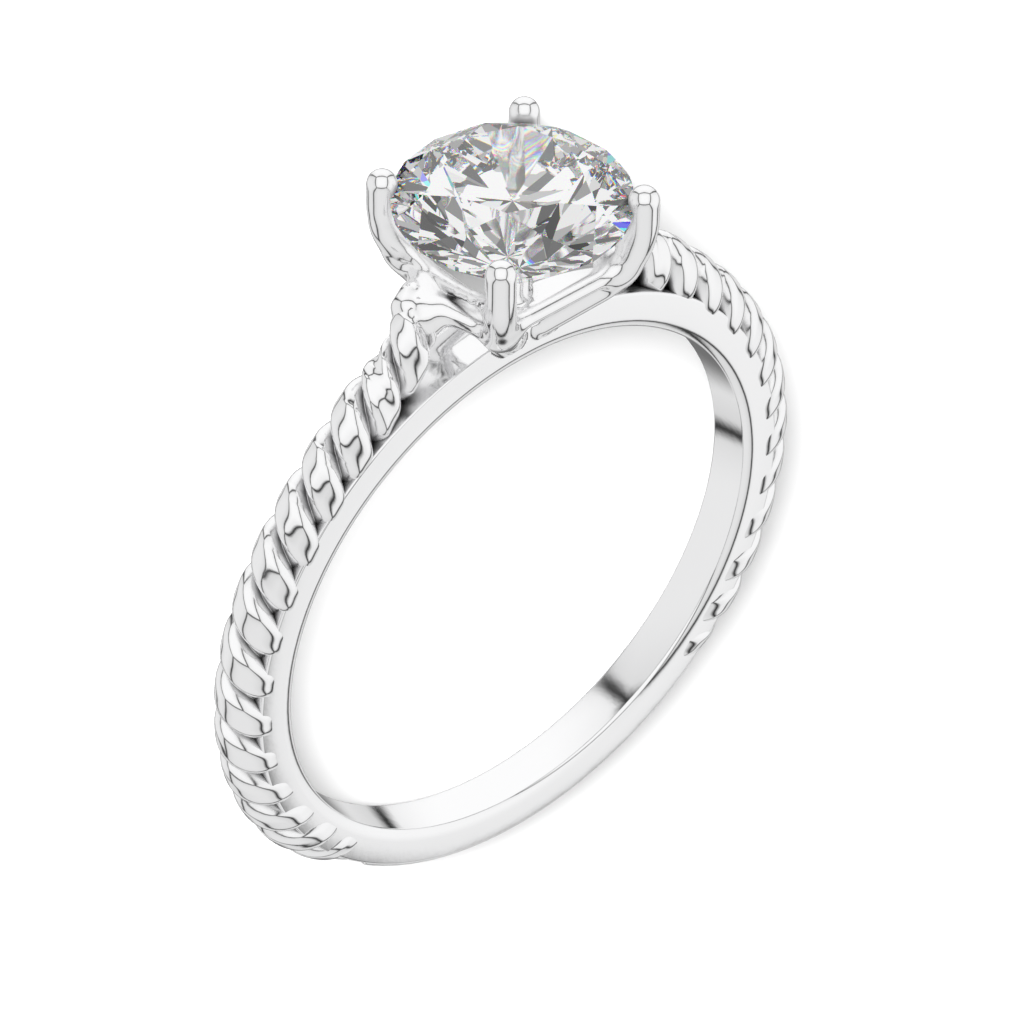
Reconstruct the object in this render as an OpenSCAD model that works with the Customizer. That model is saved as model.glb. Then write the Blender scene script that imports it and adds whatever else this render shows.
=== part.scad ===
// Four-claw solitaire ring with a twisted two-strand shank, lying on its side as it rests by itself.
// The finger hole's centre is the origin, the head points along +Y and the near side of the ring is up.

/* [Finger hole] */
// Inside diameter of the ring, 16.5 is size 6
finger_d = 16.5; // [14.5:0.1:20]

/* [Band] */
// Width of the band along the finger
band_w = 1.52; // [1.3:0.02:1.8]
// Thickness of the band from the finger hole outward
band_t = 1.13; // [0.95:0.01:1.3]
// Reach of the comfort bevel across the front face, measured outward from the hole
bevel_face = 0.36; // [0.2:0.02:0.5]
// Depth of the comfort bevel along the hole
bevel_hole = 0.17; // [0.1:0.01:0.25]
// Small bevel on the outer edges
edge_bevel = 0.07; // [0.03:0.01:0.12]
// Height of the plain foot over the rest of the band
foot_rise = 0.09; // [0.04:0.01:0.2]
// Step between the sides of the foot and the faces of the band
foot_step = 0.04; // [0.02:0.01:0.1]
// Angle that the plain foot covers at the bottom, in degrees
foot_angle = 77; // [60:1:90]

/* [Twist] */
// Diameter of each of the two strands
strand_d = 1.1; // [0.95:0.01:1.2]
// Distance of each strand's centre from the middle of the twist
strand_offset = 0.4; // [0.34:0.01:0.44]
// Length of one full turn of the twist
turn_length = 2.88; // [2.6:0.02:3.2]
// Width of the twist along the finger as a share of its depth
twist_narrow = 0.84; // [0.8:0.01:1]
// Turn of the strands where the twist leaves the head, in degrees
twist_phase = 75; // [0:1:179]
// Angle from the head to the upper end of the twist, in degrees
twist_from = 13.5; // [13:0.5:15]
// Rise of the twist over the band at the head
shoulder_rise = 1.98; // [1.7:0.02:2.1]
// Depth that the middle of the twist sinks below the band's outside at the foot
tail_sink = 0.5; // [0.35:0.01:0.6]

/* [Stone] */
// Diameter of the stone over its girdle
stone_d = 6.5; // [6:0.05:7]
// Distance of the girdle from the middle of the finger hole, over the hole's radius
stone_lift = 5.04; // [4.8:0.02:5.4]
// Diameter of the table, corner to corner
table_d = 3.7; // [3.2:0.05:4.1]
// Height of the crown over the girdle
crown_h = 0.96; // [0.8:0.02:1.1]
// Depth of the pavilion below the girdle
pavilion_h = 2.8; // [2.6:0.02:2.9]
// Thickness of the girdle at its corners
girdle_h = 0.16; // [0.12:0.01:0.2]
// Clearance between the stone and the metal of its seat
stone_gap = 0.03; // [0.02:0.01:0.05]

/* [Head] */
// Diameter of each prong's wire
prong_d = 0.85; // [0.75:0.01:0.95]
// Depth that each prong's axis stands outside the girdle
prong_out = 0.24; // [0.2:0.01:0.3]
// Height of the middle of each prong's round tip over the girdle
tip_lift = 0.26; // [0.15:0.01:0.4]
// Radius of the outward sweep of each prong
sweep_r = 3.2; // [3:0.05:3.4]
// Lean of the lower prong from the plane of the girdle, in degrees
lean = 39.5; // [37:0.5:43]
// Diameter of the gallery rails
rail_d = 0.44; // [0.36:0.01:0.52]
// Distance of the gallery rails below the girdle
rail_drop = 2.08; // [2:0.02:2.3]

/* [Hidden] */

metal = "#E6E6E8";
crystal = "#F2F5F8";

hole_r = finger_d / 2;
band_r = hole_r + band_t;
foot_r = band_r + foot_rise;
half_w = band_w / 2;
girdle_r = stone_d / 2;
girdle_y = hole_r + stone_lift;
strand_r = strand_d / 2;
twist_r = strand_offset + strand_r;
twist_to = 180 - foot_angle / 2;

// The ring lies on the girdle's rim and on the outer edge of the foot end of the band
rest_tilt = atan((girdle_r - half_w) / (girdle_y - girdle_h / 2 + band_r - edge_bevel));

// Stations of the twist: share of the way from its upper end to the foot, rise over the band as a
// share of shoulder_rise, sink below the band's outside as a share of tail_sink, and girth as a
// share of the full twist
COL_WAY = 0;
COL_RISE = 1;
COL_SINK = 2;
COL_GIRTH = 3;
stations = [
    [0.00, 1.00, 0.00, 0.92],
    [0.02, 0.82, 0.00, 0.97],
    [0.05, 0.62, 0.00, 1.00],
    [0.08, 0.45, 0.00, 1.00],
    [0.13, 0.28, 0.00, 1.00],
    [0.19, 0.13, 0.00, 1.00],
    [0.25, 0.05, 0.00, 1.00],
    [0.33, 0.00, 0.00, 1.00],
    [0.41, 0.00, 0.04, 1.00],
    [0.52, 0.00, 0.12, 1.00],
    [0.63, 0.00, 0.20, 1.00],
    [0.74, 0.00, 0.32, 1.00],
    [0.85, 0.00, 0.50, 0.98],
    [0.92, 0.00, 0.68, 0.91],
    [0.98, 0.00, 0.92, 0.78],
    [1.00, 0.00, 1.00, 0.66]
];

function column(c) = [for (row = stations) [row[COL_WAY], row[c]]];
rise_col = column(COL_RISE);
sink_col = column(COL_SINK);
girth_col = column(COL_GIRTH);

// Value of a column, smoothed over a short stretch
smooth_way = 0.02;
function smoothed(way, col) =
    (lookup(way - smooth_way, col) + 2 * lookup(way, col) + lookup(way + smooth_way, col)) / 4;

// Path of the middle of the twist, by its share of the way down
function way_angle(way) = twist_from + way * (twist_to - twist_from);
function way_r(way) =
    band_r + shoulder_rise * smoothed(way, rise_col) - tail_sink * smoothed(way, sink_col);
function way_point(way) = way_r(way) * [sin(way_angle(way)), cos(way_angle(way)), 0];

// Sections of the twist and the sides of each section
twist_steps = 86;
lobe_sides = 7;

way_step = 1 / twist_steps;
section_ways = [for (i = [0:twist_steps]) i * way_step];
section_points = [for (w = section_ways) way_point(w)];
section_lengths = [
    for (i = 0, s = 0; i <= twist_steps;
         s = s + (i < twist_steps ? norm(section_points[i + 1] - section_points[i]) : 0), i = i + 1) s
];

// Outline of the two strands across the twist. A strand crosses the section at a slant, so it is
// wider round the twist than it is across it.
strand_slant = atan(360 * strand_offset * PI / 180 / turn_length);
strand_wide = strand_r / cos(strand_slant);
function strand_reach(a) =
    let (
        c = cos(a),
        s = sin(a),
        q = pow(c / strand_r, 2) + pow(s / strand_wide, 2)
    )
    (strand_offset * c / pow(strand_r, 2)
        + sqrt(max(0, q - pow(strand_offset * s / (strand_r * strand_wide), 2)))) / q;
function lobe_angle(j) = -90 + 180 * j / lobe_sides;
outline = [
    for (lobe = [0, 1])
        for (j = [0:lobe_sides - 1])
            [lobe_angle(j) + 180 * lobe, strand_reach(lobe_angle(j))]
];
ring_n = len(outline);

function section_tangent(i) =
    let (
        a = section_points[max(0, i - 1)],
        b = section_points[min(twist_steps, i + 1)]
    )
    (b - a) / norm(b - a);

// A strand that would reach into the finger hole is pressed outward to leave this wall of metal
hole_wall = 0.06;
function outside_hole(p) =
    let (r = norm([p[0], p[1]]), least = hole_r + hole_wall)
    r < least ? [p[0] * least / r, p[1] * least / r, p[2]] : p;

function section(i) =
    let (
        t = section_tangent(i),
        n = [-t[1], t[0], 0],
        turn = twist_phase + 360 * section_lengths[i] / turn_length,
        girth = smoothed(section_ways[i], girth_col)
    )
    [for (p = outline)
        outside_hole(section_points[i]
            + girth * p[1] * (cos(p[0] + turn) * n + sin(p[0] + turn) * [0, 0, twist_narrow]))];

twist_points = [for (i = [0:twist_steps]) for (p = section(i)) p];

// Faces of a tube over a number of rings of n points each, with a flat face at either end
function tube_faces(rings, n) =
    concat(
        [[for (j = [0:n - 1]) j]],
        [
            for (i = [0:rings - 2])
                for (j = [0:n - 1])
                    let (a = i * n + j, b = i * n + (j + 1) % n)
                    for (f = [[a, a + n, b], [a + n, b + n, b]]) f
        ],
        [[for (j = [0:n - 1]) rings * n - 1 - j]]
    );

// Prong path in the plane through the head's axis: out is the distance from that axis
prong_r = prong_d / 2;
tip_y = girdle_y + tip_lift;
sweep_end = [girdle_r + prong_out, tip_y - 1.4 * prong_r];
sweep_mid = sweep_end - [sweep_r, 0];
sweep_start = sweep_mid + sweep_r * [sin(lean), -cos(lean)];
lower_len = (sweep_start[1] - (band_r - 0.1 * band_t)) / sin(lean);
lower_end = sweep_start - lower_len * [cos(lean), sin(lean)];

// Rings of the prong from its lower end to its tip: middle, direction and radius
dome_angles = [18, 42, 66];
sweep_steps = 8;
prong_sides = 16;
prong_rings = concat(
    [for (a = dome_angles) [lower_end - prong_r * cos(a) * [cos(lean), sin(lean)], lean, prong_r * sin(a)]],
    [[lower_end, lean, prong_r]],
    [
        for (i = [0:sweep_steps])
            let (a = lean + (90 - lean) * i / sweep_steps)
            [sweep_mid + sweep_r * [sin(a), -cos(a)], a, prong_r]
    ],
    [[[sweep_end[0], tip_y], 90, prong_r]],
    [for (i = [2:-1:0]) let (a = dome_angles[i]) [[sweep_end[0], tip_y + prong_r * cos(a)], 90, prong_r * sin(a)]]
);
prong_points = [
    for (ring = prong_rings)
        for (j = [0:prong_sides - 1])
            let (
                a = (j + 0.5) * 360 / prong_sides,
                inward = ring[2] * cos(a)
            )
            [ring[0][0] - inward * sin(ring[1]), ring[0][1] + inward * cos(ring[1]), ring[2] * sin(a)]
];

rail_y = girdle_y - rail_drop;
rail_angle = acos(min(1, (sweep_end[1] - rail_y) / sweep_r));
rail_out = sweep_mid[0] + sweep_r * sin(rail_angle);

module band_profile() {
    polygon([
        [hole_r, half_w - bevel_hole],
        [hole_r + bevel_face / 3, half_w - bevel_hole / 3],
        [hole_r + bevel_face, half_w],
        [band_r - edge_bevel, half_w],
        [band_r, half_w - edge_bevel],
        [band_r, -half_w + edge_bevel],
        [band_r - edge_bevel, -half_w],
        [hole_r + bevel_face, -half_w],
        [hole_r + bevel_face / 3, -half_w + bevel_hole / 3],
        [hole_r, -half_w + bevel_hole]
    ]);
}

module foot_profile() {
    foot_w = half_w - foot_step;
    polygon([
        [band_r - band_t / 2, foot_w],
        [foot_r - edge_bevel, foot_w],
        [foot_r, foot_w - edge_bevel],
        [foot_r, -foot_w + edge_bevel],
        [foot_r - edge_bevel, -foot_w],
        [band_r - band_t / 2, -foot_w]
    ]);
}

module band() {
    rotate_extrude($fn = 180) band_profile();
}

module foot() {
    rotate_extrude(angle = foot_angle, start = 270 - foot_angle / 2, $fn = 180) foot_profile();
}

module twist() {
    polyhedron(points = twist_points, faces = tube_faces(twist_steps + 1, ring_n), convexity = 10);
}

module prong() {
    polyhedron(points = prong_points, faces = tube_faces(len(prong_rings), prong_sides), convexity = 4);
}

module prongs() {
    for (a = [45:90:315]) rotate([0, a, 0]) prong();
}

module rails() {
    side = rail_out / sqrt(2);
    for (a = [0:90:270])
        rotate([0, a, 0])
            translate([side, rail_y, -side]) cylinder(h = 2 * side, d = rail_d, $fn = 24);
}

// Smooth web between the end of the twist and the two prongs beside it, which takes in the end of
// the twist by this length
collar = 0.15;
module shoulder() {
    end = section_points[0];
    ahead = section_tangent(0);
    side = rail_out / sqrt(2);
    low = 0.4 * lower_end + 0.6 * sweep_start;
    hull() {
        translate(end - collar * ahead)
            rotate([0, 90, atan2(ahead[1], ahead[0])])
                linear_extrude(2 * collar) scale([twist_narrow, 1]) circle(r = twist_r, $fn = 24);
        for (m = [-1, 1]) {
            translate([side - 0.3 * rail_d, rail_y - 0.25 * rail_d, m * (side - 0.6 * prong_d)])
                sphere(d = 1.2 * rail_d, $fn = 12);
            translate([low[0] / sqrt(2), low[1], m * (low[0] / sqrt(2) - 0.25 * prong_d)])
                sphere(d = rail_d, $fn = 12);
        }
    }
}

// Room for the stone and its clearance, cut into the prongs. It runs on over the crown by room_over.
room_over = 0.1;
module stone_room() {
    r = girdle_r + stone_gap;
    top = girdle_h / 2 + stone_gap;
    over = crown_h + room_over;
    rise = crown_h / (girdle_r - table_d / 2);
    drop = pavilion_h / girdle_r;
    translate([0, girdle_y, 0])
        rotate([-90, 0, 0])
            rotate_extrude($fn = 96)
                polygon([
                    [0, -girdle_h / 2 - drop * r],
                    [r, -top],
                    [r, top],
                    [r - over / rise, top + over],
                    [0, top + over]
                ]);
}

module mounting() {
    color(metal)
        rotate([rest_tilt, 0, 0])
            difference() {
                union() {
                    band();
                    foot();
                    twist();
                    mirror([1, 0, 0]) twist();
                    prongs();
                    rails();
                    shoulder();
                    mirror([1, 0, 0]) shoulder();
                }
                stone_room();
            }
}

// Round brilliant: its own frame has the table up along Z and the girdle's middle at the origin
star_r = 0.5 * (table_d / 2 * cos(22.5) + girdle_r);
lower_r = 0.22 * girdle_r;
crown_slope = crown_h / (girdle_r - table_d / 2);
pavilion_slope = pavilion_h / girdle_r;
table_z = girdle_h / 2 + crown_h;
culet_z = -girdle_h / 2 - pavilion_h;
star_z = table_z - crown_slope * (star_r * cos(22.5) - table_d / 2);
lower_z = culet_z + pavilion_slope * lower_r * cos(22.5);
arc_n = 4;
rim_n = 16 * arc_n;

function at(r, a, z) = [r * cos(a), r * sin(a), z];

// Height of the plane through three points over the point q
function plane_z(p1, p2, p3, q) =
    let (n = cross(p2 - p1, p3 - p1))
    p1[2] - (n[0] * (q[0] - p1[0]) + n[1] * (q[1] - p1[1])) / n[2];

// Rim of the girdle: side is 1 for its upper edge and -1 for its lower edge
function rim_point(i, side) =
    let (
        a = i * 360 / rim_n,
        main = 45 * round(a / 45),
        half = main + (a >= main ? 22.5 : -22.5),
        z = side * girdle_h / 2,
        apex = side > 0 ? at(star_r, half, star_z) : at(lower_r, half, lower_z),
        q = at(girdle_r, a, z)
    )
    at(girdle_r, a, plane_z(at(girdle_r, main, z), at(girdle_r, half, z), apex, q));

TABLE = 0;
STAR = 8;
TOP = 16;
BOTTOM = TOP + rim_n;
LOWER = BOTTOM + rim_n;
CULET = LOWER + 8;

stone_points = concat(
    [for (k = [0:7]) at(table_d / 2, 45 * k, table_z)],
    [for (k = [0:7]) at(star_r, 45 * k + 22.5, star_z)],
    [for (i = [0:rim_n - 1]) rim_point(i, 1)],
    [for (i = [0:rim_n - 1]) rim_point(i, -1)],
    [for (k = [0:7]) at(lower_r, 45 * k + 22.5, lower_z)],
    [[0, 0, culet_z]]
);

function rim(i) = (i + rim_n) % rim_n;
function eighth(k) = (k + 8) % 8;

stone_faces = concat(
    [[for (k = [0:7]) TABLE + 7 - k]],
    [for (k = [0:7]) [TABLE + k, TABLE + eighth(k + 1), STAR + k]],
    [for (k = [0:7]) [TABLE + k, STAR + k, TOP + rim(2 * arc_n * k), STAR + eighth(k - 1)]],
    [for (k = [0:7]) concat([STAR + k], [for (j = [arc_n:-1:0]) TOP + rim(2 * arc_n * k + j)])],
    [for (k = [0:7]) concat([STAR + k], [for (j = [2 * arc_n:-1:arc_n]) TOP + rim(2 * arc_n * k + j)])],
    [for (i = [0:rim_n - 1]) [TOP + i, TOP + rim(i + 1), BOTTOM + rim(i + 1), BOTTOM + i]],
    [for (k = [0:7]) concat([LOWER + k], [for (j = [0:arc_n]) BOTTOM + rim(2 * arc_n * k + j)])],
    [for (k = [0:7]) concat([LOWER + k], [for (j = [arc_n:2 * arc_n]) BOTTOM + rim(2 * arc_n * k + j)])],
    [for (k = [0:7]) [CULET, LOWER + eighth(k - 1), BOTTOM + rim(2 * arc_n * k), LOWER + k]]
);

module stone() {
    color(crystal)
        rotate([rest_tilt, 0, 0])
            translate([0, girdle_y, 0])
                rotate([-90, 0, 0]) polyhedron(points = stone_points, faces = stone_faces, convexity = 4);
}

mounting();
stone();
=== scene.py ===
import math
from functools import partial

import bpy
import numpy as np
from mathutils import Matrix, Vector


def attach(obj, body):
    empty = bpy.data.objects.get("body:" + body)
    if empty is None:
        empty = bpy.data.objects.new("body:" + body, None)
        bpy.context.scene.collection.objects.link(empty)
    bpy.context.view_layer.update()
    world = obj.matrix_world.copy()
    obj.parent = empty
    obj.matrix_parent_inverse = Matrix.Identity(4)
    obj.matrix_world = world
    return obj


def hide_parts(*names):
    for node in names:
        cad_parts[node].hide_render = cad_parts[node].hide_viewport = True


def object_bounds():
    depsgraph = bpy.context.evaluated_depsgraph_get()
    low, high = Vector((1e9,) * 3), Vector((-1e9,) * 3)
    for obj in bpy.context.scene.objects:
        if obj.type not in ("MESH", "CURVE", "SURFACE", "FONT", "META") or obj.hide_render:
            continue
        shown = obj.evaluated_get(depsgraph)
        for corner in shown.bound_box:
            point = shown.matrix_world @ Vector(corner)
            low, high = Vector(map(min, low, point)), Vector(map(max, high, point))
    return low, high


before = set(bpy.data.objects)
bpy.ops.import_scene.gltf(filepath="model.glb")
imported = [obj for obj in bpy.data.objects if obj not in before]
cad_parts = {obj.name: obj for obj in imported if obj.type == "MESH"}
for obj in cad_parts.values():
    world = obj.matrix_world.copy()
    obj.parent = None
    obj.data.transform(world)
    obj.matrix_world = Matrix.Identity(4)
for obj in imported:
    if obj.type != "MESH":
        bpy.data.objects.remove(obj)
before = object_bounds()

# Sizes in millimetres, as in the part
HOLE_R = 8.25
BAND_T = 1.13
HALF_W = 0.76
BEVEL_FACE = 0.36
BEVEL_HOLE = 0.17
EDGE = 0.07
FOOT_RISE = 0.09
FOOT_STEP = 0.04
FOOT_ANGLE = 77.0
FOOT_CORE = 0.3
FOOT_END = 0.16
FOOT_LOW = 0.62
STRAND_D = 1.1
STRAND_OFFSET = 0.4
TURN_LENGTH = 2.88
TWIST_NARROW = 0.84
PHASE = 75.0
TWIST_FROM = 13.5
SHOULDER_RISE = 1.98
TAIL_SINK = 0.5
STONE_R = 3.25
GIRDLE_Y = 13.29
GIRDLE_H = 0.16
PRONG_R = 0.425
PRONG_OUT = 0.24
TIP_LIFT = 0.26
SWEEP_R = 3.2
LEAN = 39.5
RAIL_R = 0.22
RAIL_DROP = 2.08
WALL = 0.06
BAND_R = HOLE_R + BAND_T
TILT = math.atan((STONE_R - HALF_W) / (GIRDLE_Y - GIRDLE_H / 2 + BAND_R - EDGE))
COS_T = math.cos(TILT)
SIN_T = math.sin(TILT)


def to_frame(points):
    """Ring coordinates in mm (head +Y, finger axis Z) to the shared frame in metres."""
    p = np.asarray(points, float).reshape(-1, 3) * 0.001
    out = np.empty_like(p)
    out[:, 0] = p[:, 0]
    out[:, 1] = p[:, 1] * COS_T - p[:, 2] * SIN_T
    out[:, 2] = p[:, 1] * SIN_T + p[:, 2] * COS_T
    return out


def turn_frame(v):
    """A direction in ring coordinates as one in the shared frame."""
    return Vector((v[0], v[1] * COS_T - v[2] * SIN_T, v[1] * SIN_T + v[2] * COS_T))


def add_mesh(name, points, quads, material, caps=()):
    """A smooth mesh from quads, with optional flat caps."""
    quads = np.asarray(quads, np.int32).reshape(-1, 4)
    loops = quads.reshape(-1).tolist()
    starts = list(range(0, len(loops), 4))
    totals = [4] * len(quads)
    for cap in caps:
        starts.append(len(loops))
        totals.append(len(cap))
        loops.extend(int(i) for i in cap)
    verts = to_frame(points)
    mesh = bpy.data.meshes.new(name)
    mesh.vertices.add(len(verts))
    mesh.vertices.foreach_set("co", verts.ravel())
    mesh.loops.add(len(loops))
    mesh.loops.foreach_set("vertex_index", loops)
    mesh.polygons.add(len(starts))
    mesh.polygons.foreach_set("loop_start", starts)
    mesh.polygons.foreach_set("loop_total", totals)
    mesh.polygons.foreach_set("use_smooth", [True] * len(starts))
    mesh.update(calc_edges=True)
    mesh.validate()
    mesh.materials.append(material)
    obj = bpy.data.objects.new(name, mesh)
    bpy.context.scene.collection.objects.link(obj)
    return obj


def tube_quads(rings, n, closed_path=False):
    """Quads between rings of n points, wound outward for rings that turn left about the path."""
    last = rings if closed_path else rings - 1
    i = np.arange(last)[:, None]
    j = np.arange(n)[None, :]
    k = (j + 1) % n
    a = i * n + j
    b = i * n + k
    c = ((i + 1) % rings) * n + k
    d = ((i + 1) % rings) * n + j
    return np.stack([a, d, c, b], -1).reshape(-1, 4)


def tube_caps(rings, n):
    first = list(range(n))
    last = [(rings - 1) * n + j for j in reversed(range(n))]
    return [first, last]


def arc_points(cx, cy, rx, ry, a0, a1, n):
    a = np.radians(np.linspace(a0, a1, n))
    return np.stack([cx + rx * np.cos(a), cy + ry * np.sin(a)], -1)


def put(nt, value, socket):
    """Set a node's input to a number, or link another node's output to it."""
    if isinstance(value, (int, float)):
        socket.default_value = value
    else:
        nt.links.new(value, socket)


def number(nt, operation, *values):
    """Output of a new Math node."""
    node = nt.nodes.new("ShaderNodeMath")
    node.operation = operation
    for socket, value in zip(node.inputs, values):
        put(nt, value, socket)
    return node.outputs[0]


def metal_material():
    """White gold with painted shade: its colour is bright on open metal and painted near black in creases,
    where other metal stands close. Duller in creases, faintly cloudy.
    """
    mat = bpy.data.materials.new("polished_white_gold")
    mat.use_nodes = True
    nt = mat.node_tree
    bsdf = nt.nodes["Principled BSDF"]
    bsdf.inputs["Metallic"].default_value = 1.0
    where = nt.nodes.new("ShaderNodeTexCoord").outputs["Object"]

    def noise(scale, detail):
        node = nt.nodes.new("ShaderNodeTexNoise")
        node.inputs["Scale"].default_value = scale
        node.inputs["Detail"].default_value = detail
        nt.links.new(where, node.inputs["Vector"])
        return node.outputs["Fac"]

    def spread(value, start, end, low, high):
        """A value from start to end becomes one from low to high."""
        node = nt.nodes.new("ShaderNodeMapRange")
        node.inputs["From Min"].default_value = start
        node.inputs["From Max"].default_value = end
        node.inputs["To Min"].default_value = low
        node.inputs["To Max"].default_value = high
        nt.links.new(value, node.inputs["Value"])
        return node.outputs[0]

    def openness(distance):
        """1 on open metal, and less where other metal stands within this distance."""
        node = nt.nodes.new("ShaderNodeAmbientOcclusion")
        node.samples = 8
        node.inputs["Distance"].default_value = distance
        return node.outputs["AO"]

    # Painted shade: the base colour runs from near black in creases and near other metal to bright on open
    # metal
    painted_crease_shade = nt.nodes.new("ShaderNodeValToRGB")
    crease, open_metal = painted_crease_shade.color_ramp.elements
    crease.position = 0.12
    crease.color = (0.02, 0.02, 0.021, 1)
    open_metal.position = 0.6
    open_metal.color = (0.92, 0.92, 0.925, 1)
    nt.links.new(openness(0.0006), painted_crease_shade.inputs["Fac"])
    nt.links.new(painted_crease_shade.outputs["Color"], bsdf.inputs["Base Color"])

    wear = spread(noise(450.0, 4.0), 0.3, 0.7, 0.05, 0.09)
    unpolished = spread(openness(0.0013), 0.4, 0.8, 0.32, 0.0)
    nt.links.new(number(nt, "ADD", wear, unpolished), bsdf.inputs["Roughness"])
    bump = nt.nodes.new("ShaderNodeBump")
    bump.inputs["Strength"].default_value = 0.05
    bump.inputs["Distance"].default_value = 0.00004
    nt.links.new(noise(2200.0, 3.0), bump.inputs["Height"])
    nt.links.new(bump.outputs["Normal"], bsdf.inputs["Normal"])
    return mat


def diamond_material():
    """Light splits into colours where it enters. Inside, a facet either mirrors it or lets it out."""
    mat = bpy.data.materials.new("cut_diamond")
    mat.use_nodes = True
    nt = mat.node_tree
    nt.nodes.clear()

    def refraction(colour, ior):
        node = nt.nodes.new("ShaderNodeBsdfRefraction")
        node.inputs["Color"].default_value = colour
        node.inputs["Roughness"].default_value = 0.0
        node.inputs["IOR"].default_value = ior
        return node.outputs[0]

    def mirror():
        node = nt.nodes.new("ShaderNodeBsdfGlossy")
        node.inputs["Color"].default_value = (1, 1, 1, 1)
        node.inputs["Roughness"].default_value = 0.0
        return node.outputs[0]

    def add(a, b):
        node = nt.nodes.new("ShaderNodeAddShader")
        nt.links.new(a, node.inputs[0])
        nt.links.new(b, node.inputs[1])
        return node.outputs[0]

    def mix(fac, a, b):
        node = nt.nodes.new("ShaderNodeMixShader")
        nt.links.new(fac, node.inputs[0])
        nt.links.new(a, node.inputs[1])
        nt.links.new(b, node.inputs[2])
        return node.outputs[0]

    ior = 2.42
    fresnel = nt.nodes.new("ShaderNodeFresnel")
    fresnel.inputs["IOR"].default_value = ior
    fresnel = fresnel.outputs[0]
    fire = add(refraction((1, 0, 0, 1), ior - 0.005), refraction((0, 1, 0, 1), ior))
    fire = add(fire, refraction((0, 0, 1, 1), ior + 0.006))
    outside = mix(fresnel, fire, mirror())
    inside = mix(number(nt, "GREATER_THAN", fresnel, 0.6), refraction((1, 1, 1, 1), ior), mirror())
    side = nt.nodes.new("ShaderNodeNewGeometry").outputs["Backfacing"]

    # The metal doesn't mirror the stone's small bright facets
    rays = nt.nodes.new("ShaderNodeLightPath").outputs
    not_in_stone = number(nt, "LESS_THAN", rays["Transmission Depth"], 0.5)
    off_metal = number(nt, "MULTIPLY", rays["Is Glossy Ray"], not_in_stone)
    clear = nt.nodes.new("ShaderNodeBsdfTransparent").outputs[0]
    out = nt.nodes.new("ShaderNodeOutputMaterial")
    nt.links.new(mix(off_metal, mix(side, outside, inside), clear), out.inputs["Surface"])
    return mat


metal = metal_material()
diamond = diamond_material()


def band_profile():
    """Half-round comfort bevels at the hole and small round outer edges, as radius and height."""
    half = np.concatenate([
        arc_points(HOLE_R + BEVEL_FACE, HALF_W - BEVEL_HOLE, BEVEL_FACE, BEVEL_HOLE, 180, 90, 20),
        arc_points(BAND_R - EDGE, HALF_W - EDGE, EDGE, EDGE, 90, 0, 9),
    ])
    return np.concatenate([half, half[::-1] * [1, -1]])


def revolve(profile, angles, radial=None):
    """Rings of a profile about the finger axis. Angle 0 is the head, and it grows toward +X."""
    a = np.radians(angles)
    r = profile[:, 0][None, :] if radial is None else radial
    x = r * np.sin(a)[:, None]
    y = r * np.cos(a)[:, None]
    z = np.broadcast_to(profile[:, 1][None, :], x.shape)
    return np.stack([x, y, z], -1).reshape(-1, 3)


def band_mesh(steps=720):
    profile = band_profile()
    angles = np.linspace(0, 360, steps, endpoint=False)
    return add_mesh("band", revolve(profile, angles), tube_quads(steps, len(profile), True), metal)


band = band_mesh()


def foot_mesh():
    """Plain foot at the bottom, with rounded ends."""
    foot_w = HALF_W - FOOT_STEP
    core = BAND_R - FOOT_CORE
    half = np.concatenate([
        [[core, foot_w]],
        arc_points(BAND_R + FOOT_RISE - EDGE, foot_w - EDGE, EDGE, EDGE, 90, 0, 9),
    ])
    prof = np.concatenate([half, half[::-1] * [1, -1]])
    span = FOOT_ANGLE / 2
    end = np.degrees(FOOT_END / BAND_R)
    u = np.sin(np.radians(np.linspace(0, 90, 12)))
    left = -span + end * (1 - np.sqrt(np.maximum(0, 1 - u * u)))
    angles = np.concatenate([left, np.linspace(-span + end, span - end, 200)[1:-1], -left[::-1]])
    t = np.clip((span - np.abs(angles)) / end, 0, 1)
    lift = np.sqrt(1 - (1 - t) ** 2)
    radial = core + (prof[:, 0][None, :] - core) * (FOOT_LOW + (1 - FOOT_LOW) * lift)[:, None]
    pts = revolve(prof, 180 + angles, radial)
    quads = tube_quads(len(angles), len(prof))
    caps = tube_caps(len(angles), len(prof))
    return add_mesh("foot", pts, quads, metal, caps)


foot = foot_mesh()


# Stations of the twist, as in the part: share of the way down, rise over the band as a share of
# SHOULDER_RISE, sink as a share of TAIL_SINK, and girth as a share of the full twist
STATIONS = np.array([
    [0.00, 1.00, 0.00, 0.92], [0.02, 0.82, 0.00, 0.97], [0.05, 0.62, 0.00, 1.00], [0.08, 0.45, 0.00, 1.00],
    [0.13, 0.28, 0.00, 1.00], [0.19, 0.13, 0.00, 1.00], [0.25, 0.05, 0.00, 1.00], [0.33, 0.00, 0.00, 1.00],
    [0.41, 0.00, 0.04, 1.00], [0.52, 0.00, 0.12, 1.00], [0.63, 0.00, 0.20, 1.00], [0.74, 0.00, 0.32, 1.00],
    [0.85, 0.00, 0.50, 0.98], [0.92, 0.00, 0.68, 0.91], [0.98, 0.00, 0.92, 0.78], [1.00, 0.00, 1.00, 0.66],
])
# Shares of the twist's length: how far it runs on into the shoulder, its round end, and the step
# over which the stations are smoothed
EXTRA = 0.008
ROUND_END = 0.034
SMOOTH_STEP = 0.014


def station(way, col):
    """A column of the stations at these shares of the way, smoothed."""
    total = 0
    for k, weight in zip((-2, -1, 0, 1, 2), (1, 4, 6, 4, 1)):
        total = total + weight * np.interp(way + SMOOTH_STEP * k, STATIONS[:, 0], STATIONS[:, col])
    return total / 16


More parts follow.
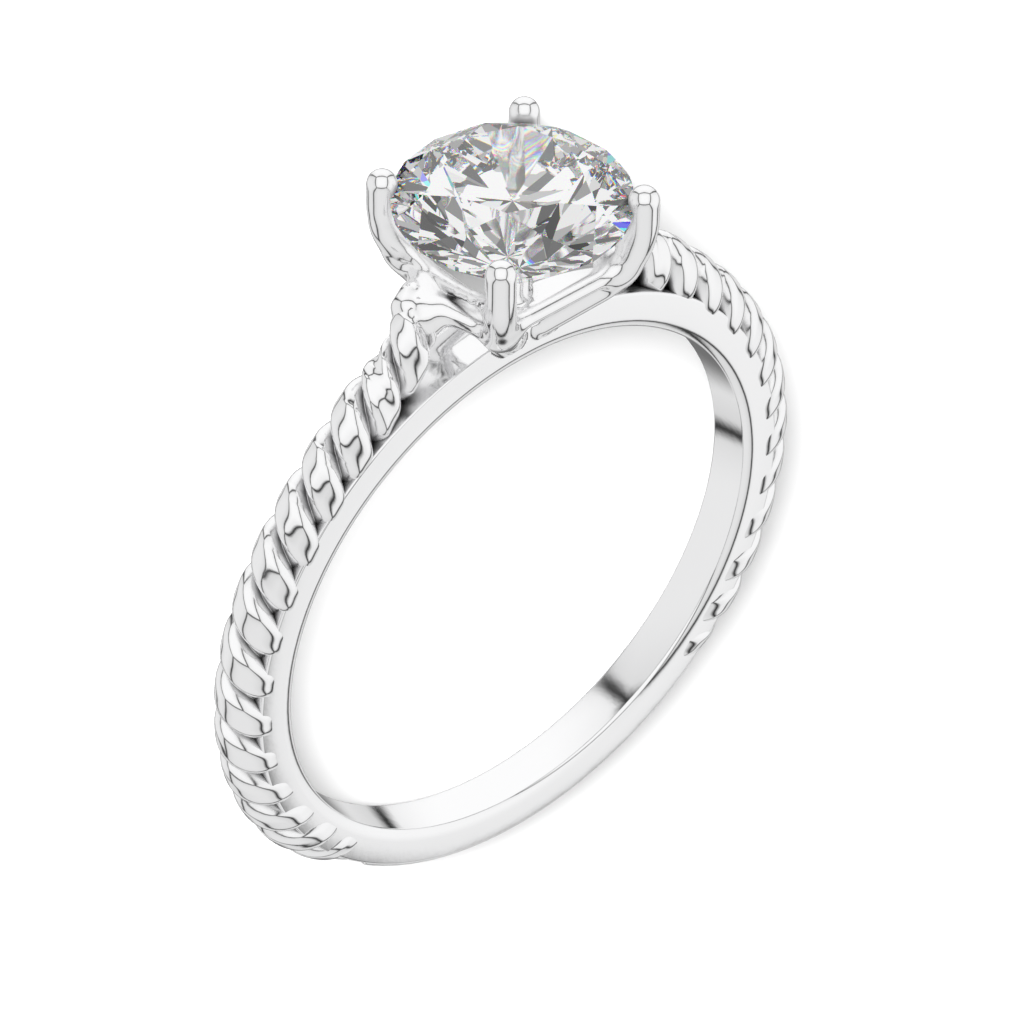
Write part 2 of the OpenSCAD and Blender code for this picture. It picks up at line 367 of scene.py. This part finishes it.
def twist_rings(steps, count):
    """Sections of two strands wound round each other along the right side of the ring."""
    way = np.linspace(-EXTRA, 1, steps)
    angle = np.radians(TWIST_FROM + way * (180 - FOOT_ANGLE / 2 - TWIST_FROM))
    radius = BAND_R + SHOULDER_RISE * station(way, 1) - TAIL_SINK * station(way, 2)
    dome = np.clip((way + EXTRA) / ROUND_END, 0, 1)
    girth = station(way, 3) * np.sqrt(1 - (1 - dome) ** 2)
    path = np.stack([radius * np.sin(angle), radius * np.cos(angle)], -1)
    gap = np.linalg.norm(np.diff(path, axis=0), axis=1)
    length = np.concatenate([[0], np.cumsum(gap)])
    length -= np.interp(0, way, length)
    tangent = np.gradient(path, axis=0)
    tangent /= np.linalg.norm(tangent, axis=1)[:, None]
    normal = np.stack([-tangent[:, 1], tangent[:, 0]], -1)
    turn = np.radians(PHASE) + 2 * np.pi * length / TURN_LENGTH
    strand_r = STRAND_D / 2
    wide = strand_r / math.cos(math.atan(2 * math.pi * STRAND_OFFSET / TURN_LENGTH))
    # Points gather near the crease between the strands
    u = np.linspace(-1, 1, count // 2, endpoint=False)
    lobe = 90 * np.sign(u) * (1 - (1 - np.abs(u)) ** 1.35)
    a = np.radians(np.concatenate([lobe, lobe + 180]))
    c = np.abs(np.cos(a))
    s = np.sin(a)
    q = (c / strand_r) ** 2 + (s / wide) ** 2
    root = np.sqrt(np.maximum(0, q - (STRAND_OFFSET * s / (strand_r * wide)) ** 2))
    reach = (STRAND_OFFSET * c / strand_r ** 2 + root) / q
    theta = a[None, :] + turn[:, None]
    rr = reach[None, :] * girth[:, None]
    # Near the head one strand thins out in the web and the inward side is flatter
    thin = np.interp(way, [0.0, 0.04, 0.09, 0.14], [0.3, 0.5, 0.85, 1.0])
    rr[:, :count // 2] *= 1 - (1 - thin[:, None]) * c[None, :count // 2] ** 2
    out = rr * np.cos(theta)
    flat = np.interp(way, [0.0, 0.04, 0.1, 0.14], [0.35, 0.5, 0.85, 1.0])
    out = np.where(out < 0, out * flat[:, None], out)
    x = path[:, 0][:, None] + out * normal[:, 0][:, None]
    y = path[:, 1][:, None] + out * normal[:, 1][:, None]
    # Where the twist fades out it is as wide as it is deep
    narrow = np.interp(way, [0.7, 0.9], [TWIST_NARROW, 1.0])
    z = narrow[:, None] * rr * np.sin(theta)
    # No strand reaches into the finger hole
    k = np.maximum(1, (HOLE_R + WALL) / np.hypot(x, y))
    return np.stack([x * k, y * k, z], -1)


def twist(name, side, steps=760, count=60):
    rings = twist_rings(steps, count)
    rings[:, :, 0] *= side
    quads = tube_quads(steps, count)
    caps = tube_caps(steps, count)
    if side > 0:
        quads = quads[:, ::-1]
        caps = [c[::-1] for c in caps]
    return add_mesh(name, rings, quads, metal, caps)


twist_right = twist("twist_right", 1)
twist_left = twist("twist_left", -1)

# Head: claws, rails and shoulders as one soft-edged solid. A claw runs in an upright plane: START and
# END are the ends of its sweep about MID, and LOWER is its lower end in the band.
TIP_Y = GIRDLE_Y + TIP_LIFT
END = np.array([STONE_R + PRONG_OUT, TIP_Y - 1.4 * PRONG_R])
MID = END - [SWEEP_R, 0]
LEAN_A = math.radians(LEAN)
START = MID + SWEEP_R * np.array([math.sin(LEAN_A), -math.cos(LEAN_A)])
LOWER_LEN = (START[1] - (BAND_R - 0.1 * BAND_T)) / math.sin(LEAN_A)
LOWER = START - LOWER_LEN * np.array([math.cos(LEAN_A), math.sin(LEAN_A)])
RAIL_Y = GIRDLE_Y - RAIL_DROP
RAIL_OUT = MID[0] + SWEEP_R * math.sin(math.acos((END[1] - RAIL_Y) / SWEEP_R))
SIDE = RAIL_OUT / math.sqrt(2)


def smin(a, b, k):
    """The lesser of two distances, with a fillet where they differ by less than k."""
    h = np.maximum(k - np.abs(a - b), 0) / k
    return np.minimum(a, b) - h * h * k / 4


def to_segment(p, a, b, ra, rb):
    """Distance to a round bar whose radius runs from ra to rb."""
    a = np.asarray(a, float)
    b = np.asarray(b, float)
    ab = b - a
    t = np.clip(((p - a) @ ab) / (ab @ ab), 0, 1)
    return np.linalg.norm(p - a - t[:, None] * ab, axis=1) - (ra + (rb - ra) * t)


def claw(p, turn):
    """Distance to the claw in the upright plane at this angle about the head's axis."""
    c = math.cos(turn)
    s = math.sin(turn)
    out = p[:, 0] * c + p[:, 2] * s
    aside = -p[:, 0] * s + p[:, 2] * c
    q = np.stack([out, p[:, 1], aside], -1)
    low = to_segment(q, [LOWER[0], LOWER[1], 0], [START[0], START[1], 0], PRONG_R, PRONG_R)
    top = to_segment(q, [END[0], END[1], 0], [END[0], TIP_Y, 0], PRONG_R, PRONG_R)
    dx = out - MID[0]
    dy = p[:, 1] - MID[1]
    ang = np.arctan2(dy, dx)
    ang = np.clip(ang, LEAN_A - math.pi / 2, 0)
    ex = dx - SWEEP_R * np.cos(ang)
    ey = dy - SWEEP_R * np.sin(ang)
    arc = np.sqrt(ex * ex + ey * ey + aside * aside) - PRONG_R
    return np.minimum(np.minimum(low, top), arc)


def band_distance(p):
    """Distance to the band without its comfort bevels."""
    r = np.hypot(p[:, 0], p[:, 1])
    mid = BAND_R - BAND_T / 2
    dx = np.abs(r - mid) - BAND_T / 2 + EDGE
    dz = np.abs(p[:, 2]) - HALF_W + EDGE
    outside = np.hypot(np.maximum(dx, 0), np.maximum(dz, 0))
    return outside + np.minimum(np.maximum(dx, dz), 0) - EDGE


# Side rail as a saddle: it dips at the shoulder and climbs both claws. The web hangs below it.
SADDLE_R = 0.18
SADDLE = [
    (2.38, 12.15, -2.2), (2.18, 11.62, -1.55), (2.1, 11.3, -0.8), (2.13, 11.41, -0.15),
    (2.18, 11.6, 0.5), (2.26, 11.84, 1.15), (2.38, 12.2, 1.95),
]
# Each row joins a point at the rope's end to one below the rail, with the radius at both
WEB = [
    ((2.86, 10.86, -0.28), 0.46, (1.93, 11.18, -1.66), 0.24),
    ((2.94, 10.84, -0.20), 0.58, (2.04, 11.16, -1.10), 0.27),
    ((2.96, 10.84, -0.05), 0.56, (2.04, 11.12, -0.50), 0.24),
    ((2.94, 10.88, 0.06), 0.46, (2.06, 11.06, 0.08), 0.20),
    ((2.88, 10.99, 0.14), 0.33, (2.08, 11.02, 0.64), 0.18),
    ((2.80, 11.09, 0.24), 0.28, (2.10, 10.98, 1.25), 0.19),
    ((2.70, 11.18, 0.39), 0.26, (2.14, 10.91, 1.85), 0.25),
]
# The near strand runs on from the rope's end and thins out on the web
TIP = [((3.28, 10.81, -0.23), 0.54), ((3.24, 11.01, -0.43), 0.42), ((2.96, 11.23, -0.63), 0.28),
       ((2.69, 11.29, -0.87), 0.15)]


def shoulder(p, side):
    """Distances to the web and to the side rail on the right (side 1) or the left (side -1)."""
    q = p * np.array([side, 1, 1])
    d = None
    for one, r1, two, r2 in WEB:
        e = to_segment(q, one, two, r1, r2)
        d = e if d is None else smin(d, e, 0.25)
    for row, after in zip(WEB, WEB[1:]):
        d = smin(d, to_segment(q, row[2], after[2], row[3], after[3]), 0.15)
    strand = None
    for (one, r1), (two, r2) in zip(TIP, TIP[1:]):
        e = to_segment(q, one, two, r1, r2)
        strand = e if strand is None else smin(strand, e, 0.2)
    d = smin(d, strand, 0.06)
    rail = None
    for one, two in zip(SADDLE, SADDLE[1:]):
        e = to_segment(q, one, two, SADDLE_R, SADDLE_R)
        rail = e if rail is None else smin(rail, e, 0.08)
    return d, rail


def head_distance(p):
    claws = None
    for k in range(4):
        d = claw(p, math.radians(45 + 90 * k))
        claws = d if claws is None else smin(claws, d, 0.12)
    bars = None
    for z in (SIDE, -SIDE):
        d = to_segment(p, [SIDE, RAIL_Y, z], [-SIDE, RAIL_Y, z], RAIL_R, RAIL_R)
        bars = d if bars is None else np.minimum(bars, d)
    f = smin(claws, bars, 0.5)
    web_right, rail_right = shoulder(p, 1)
    web_left, rail_left = shoulder(p, -1)
    f = smin(f, smin(web_right, web_left, 0.1), 0.4)
    rails = np.minimum(rail_right, rail_left)
    f = smin(f, rails, 0.1)
    f = np.minimum(f, smin(claws, rails, 0.6))
    return smin(f, band_distance(p), 0.22)


def net_mesh(f, lo, hi, step):
    """Surface of f = 0 as quads: one point in each cell that it crosses, then moved onto it."""
    axes = [np.arange(l, h + step, step) for l, h in zip(lo, hi)]
    n = [len(a) for a in axes]
    grid = np.empty(n, np.float32)
    yy, zz = np.meshgrid(axes[1], axes[2], indexing="ij")
    for i, x in enumerate(axes[0]):
        p = np.stack([np.full(yy.size, x), yy.ravel(), zz.ravel()], -1)
        grid[i] = f(p).reshape(yy.shape)
    inside = grid < 0
    corners = np.zeros([m - 1 for m in n], np.int8)
    for dx in (0, 1):
        for dy in (0, 1):
            for dz in (0, 1):
                corners += inside[dx:n[0] - 1 + dx, dy:n[1] - 1 + dy, dz:n[2] - 1 + dz]
    active = (corners > 0) & (corners < 8)
    index = -np.ones(active.shape, np.int64)
    index[active] = np.arange(active.sum())
    cells = np.argwhere(active)
    pts = np.asarray(lo) + (cells + 0.5) * step
    quads = []
    for axis in range(3):
        other = [k for k in range(3) if k != axis]
        sl0 = [slice(None)] * 3
        sl1 = [slice(None)] * 3
        sl0[axis] = slice(0, -1)
        sl1[axis] = slice(1, None)
        cross = inside[tuple(sl0)] != inside[tuple(sl1)]
        where = np.argwhere(cross)
        ok = np.ones(len(where), bool)
        for k in other:
            ok &= (where[:, k] > 0) & (where[:, k] < n[k] - 1)
        where = where[ok]
        flip = inside[tuple(sl0)][tuple(where.T)]
        e1 = np.zeros(3, int)
        e2 = np.zeros(3, int)
        e1[other[0]] = 1
        e2[other[1]] = 1
        a = index[tuple((where - e1 - e2).T)]
        b = index[tuple((where - e2).T)]
        c = index[tuple(where.T)]
        d = index[tuple((where - e1).T)]
        q = np.stack([a, b, c, d], -1)
        # The other two axes, taken in order, turn the other way about y
        if axis == 1:
            flip = ~flip
        q[~flip] = q[~flip][:, ::-1]
        quads.append(q)
    quads = np.concatenate(quads)
    # Relax, then settle on the surface
    for _ in range(3):
        total = np.zeros_like(pts)
        count = np.zeros(len(pts))
        for k in range(4):
            np.add.at(total, quads[:, k], pts[quads[:, (k + 1) % 4]] + pts[quads[:, (k + 3) % 4]])
            np.add.at(count, quads[:, k], 2)
        pts = np.where(count[:, None] > 0, 0.4 * pts + 0.6 * total / np.maximum(count, 1)[:, None], pts)
        pts = settle(f, pts, 2)
    return settle(f, pts, 2), quads


def settle(f, pts, times):
    """Move points along the slope of f until it is 0."""
    eps = 0.003
    for _ in range(times):
        v = f(pts)
        g = np.empty_like(pts)
        for k in range(3):
            e = np.zeros(3)
            e[k] = eps
            g[:, k] = (f(pts + e) - f(pts - e)) / (2 * eps)
        pts = pts - v[:, None] * g / np.maximum((g * g).sum(1), 0.05)[:, None]
    return pts


def head_mesh():
    """The head's surface, without what lies flat on the band."""
    cell = 0.062
    low = (-4.1, 8.7, -4.1)
    high = (4.1, 14.15, 4.1)
    pts, quads = net_mesh(head_distance, low, high, cell)
    plain = np.abs(band_distance(pts)) < 0.003
    quads = quads[~plain[quads].all(1)]
    used = np.unique(quads)
    renum = -np.ones(len(pts), np.int64)
    renum[used] = np.arange(len(used))
    return add_mesh("head", pts[used], renum[quads], metal)


head = head_mesh()

# Stone: the part's own facets with a cut stone's look
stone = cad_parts["stone"]
stone.data.materials.clear()
stone.data.materials.append(diamond)

for obj in (band, foot, twist_right, twist_left, head):
    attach(obj, "root")
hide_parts("mounting")


# Camera at the photo's angle to the ring, worked out for a standing ring in mm
AZ, EL, ROLL = math.radians(40.390), math.radians(41.812), math.radians(0.7317)
LOOK_AT = np.array([0.1125, 0.0, 2.1281])
DISTANCE = 159.80
back = np.array([-math.sin(AZ) * math.cos(EL), -math.cos(AZ) * math.cos(EL), math.sin(EL)])
level = np.array([math.cos(AZ), -math.sin(AZ), 0.0])
steep = np.cross(back, level)
right = level * math.cos(ROLL) + steep * math.sin(ROLL)
up = -level * math.sin(ROLL) + steep * math.cos(ROLL)


def upright(v):
    """Standing ring (head up) to the lying one: x, y, z becomes x, z, -y, then the rest tilt."""
    return turn_frame((v[0], v[2], -v[1]))


R_AX, U_AX, B_AX = upright(right), upright(up), upright(back)
cam_data = bpy.data.cameras.new("camera")
cam_data.sensor_width = 36
cam_data.lens = 202.0
cam_data.clip_start = 0.01
cam_data.clip_end = 10
camera = bpy.data.objects.new("camera", cam_data)
bpy.context.scene.collection.objects.link(camera)
spot = upright(LOOK_AT + back * DISTANCE) * 0.001
camera.matrix_world = Matrix.Translation(spot) @ Matrix((R_AX, U_AX, B_AX)).transposed().to_4x4()
bpy.context.scene.camera = camera

# Floor, just under the lowest point of the ring
bpy.ops.mesh.primitive_plane_add(size=1.6, location=(0, 0, before[0].z - 0.00002))
floor = bpy.context.active_object
floor.name = "floor"
floor_mat = bpy.data.materials.new("pale_floor")
floor_mat.use_nodes = True
fb = floor_mat.node_tree.nodes["Principled BSDF"]
fb.inputs["Base Color"].default_value = (0.93, 0.93, 0.93, 1)
fb.inputs["Roughness"].default_value = 0.9
fb.inputs["Specular IOR Level"].default_value = 0.1
floor.data.materials.append(floor_mat)
floor.visible_glossy = False
floor.visible_transmission = False


def world_setup():
    """Studio: a white cube of panels with dark seams. Light from the stone meets dark cells too."""
    world = bpy.data.worlds.new("studio")
    bpy.context.scene.world = world
    world.use_nodes = True
    nt = world.node_tree
    nt.nodes.clear()

    calc = partial(number, nt)

    def ramp(value, start, end, low, high):
        """A value from start to end becomes one from low to high, with soft ends."""
        node = nt.nodes.new("ShaderNodeMapRange")
        node.interpolation_type = "SMOOTHSTEP"
        names = ("Value", "From Min", "From Max", "To Min", "To Max")
        for name, v in zip(names, (value, start, end, low, high)):
            put(nt, v, node.inputs[name])
        return node.outputs[0]

    def choose(fac, no, yes):
        """no where fac is 0 and yes where it is 1."""
        return calc("MULTIPLY_ADD", fac, calc("SUBTRACT", yes, no), no)

    coord = nt.nodes.new("ShaderNodeTexCoord").outputs["Generated"]
    tip = math.radians(-11)
    axis_u = U_AX * math.cos(tip) + B_AX * math.sin(tip)
    axis_b = B_AX * math.cos(tip) - U_AX * math.sin(tip)
    # How far each direction points to the right, up and near
    dots = []
    for axis in (R_AX, axis_u, axis_b):
        node = nt.nodes.new("ShaderNodeVectorMath")
        node.operation = "DOT_PRODUCT"
        nt.links.new(coord, node.inputs[0])
        node.inputs[1].default_value = axis
        dots.append(node.outputs["Value"])
    sizes = [calc("ABSOLUTE", d) for d in dots]
    a, b, c = sizes
    top = calc("MAXIMUM", calc("MAXIMUM", a, b), c)
    low = calc("MINIMUM", calc("MINIMUM", a, b), c)
    middle = calc("SUBTRACT", calc("SUBTRACT", calc("ADD", calc("ADD", a, b), c), top), low)
    # 0 at a seam between two panels, and more away from it
    seam = calc("DIVIDE", calc("SUBTRACT", top, middle), top)
    near_top = calc("SUBTRACT", top, 0.0001)
    chosen = [calc("GREATER_THAN", size, near_top) for size in sizes]
    ahead = [calc("GREATER_THAN", d, 0) for d in dots]

    def panels(tones):
        total = 0
        for k, (minus, plus) in enumerate(tones):
            total = calc("ADD", total, calc("MULTIPLY", chosen[k], choose(ahead[k], minus, plus)))
        return total

    # Tones of the left and right, lower and upper, far and near panels
    metal_tones = ((0.88, 1.0), (0.84, 1.06), (0.82, 1.04))
    stone_tones = ((0.8, 0.86), (0.56, 0.82), (0.46, 0.9))
    lines = ramp(seam, 0.0, 0.2, 0.03, 1.0)
    glow = ramp(seam, 0.0, 0.7, 0.86, 1.0)
    # A dark spot straight behind the ring draws its outline
    behind = ramp(dots[2], -1.0, -0.86, 0.2, 1.0)
    shade = calc("MULTIPLY", glow, behind)
    for_metal = calc("MULTIPLY", calc("MULTIPLY", panels(metal_tones), lines), shade)
    cells = nt.nodes.new("ShaderNodeTexVoronoi")
    cells.inputs["Scale"].default_value = 4.0
    nt.links.new(coord, cells.inputs["Vector"])
    parts = nt.nodes.new("ShaderNodeSeparateColor")
    nt.links.new(cells.outputs["Color"], parts.inputs[0])
    patch = ramp(parts.outputs[0], 0.2, 0.58, 0.03, 1.0)
    for_stone = calc("MULTIPLY", calc("MULTIPLY", panels(stone_tones), lines), patch)

    rays = nt.nodes.new("ShaderNodeLightPath").outputs
    value = choose(rays["Is Glossy Ray"], 0.7, for_metal)
    value = choose(rays["Is Transmission Ray"], value, for_stone)
    value = choose(rays["Is Camera Ray"], value, 1.0)
    bg = nt.nodes.new("ShaderNodeBackground")
    out = nt.nodes.new("ShaderNodeOutputWorld")
    nt.links.new(value, bg.inputs["Color"])
    nt.links.new(bg.outputs[0], out.inputs["Surface"])


world_setup()

# Key light from near the camera, a little to its upper left
light_data = bpy.data.lights.new("key", "AREA")
light_data.shape = "DISK"
light_data.size = 0.12
light_data.energy = 1.15
light = bpy.data.objects.new("key", light_data)
bpy.context.scene.collection.objects.link(light)
aim = (B_AX - 0.3 * R_AX + 0.15 * U_AX).normalized()
light.location = aim * 0.16
light.rotation_mode = "QUATERNION"
light.rotation_quaternion = aim.to_track_quat("Z", "Y")
light.visible_glossy = False
light.visible_transmission = False
light.visible_camera = False

scene = bpy.context.scene
scene.view_settings.view_transform = "Standard"
scene.cycles.max_bounces = 24
scene.cycles.transmission_bounces = 20
scene.cycles.glossy_bounces = 20
scene.cycles.caustics_reflective = False
scene.cycles.caustics_refractive = False
